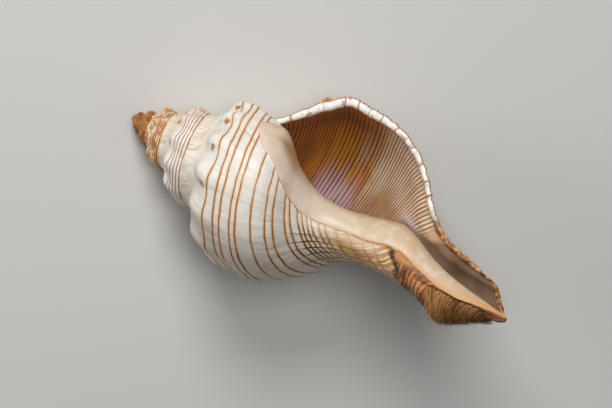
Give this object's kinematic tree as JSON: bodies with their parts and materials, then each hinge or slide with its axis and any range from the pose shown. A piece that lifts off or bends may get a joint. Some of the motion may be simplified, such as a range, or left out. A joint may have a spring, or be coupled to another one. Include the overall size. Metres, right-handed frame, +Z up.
{
  "type": "trapezium horse conch shell",
  "caption": "Empty spindle-shaped sea snail shell with a knobbed spire, a wide ribbed mouth and a long open canal, lying on its back.",
  "frame": {"origin": "on the ground, under the middle of the lying shell's bounding box", "axes": "+Z up; +X along the shell, from the apex of the spire to the end of the canal, seen from above; +Y towards the outer lip"},
  "size_m": [0.1219, 0.0662, 0.071],
  "materials": {
    "shell": "satin, ivory white with fine brown spiral lines, glossy and orange-brown inside the mouth"
  },
  "bodies": {
    "root": {"shell": "shell"}
  },
  "joints": []
}
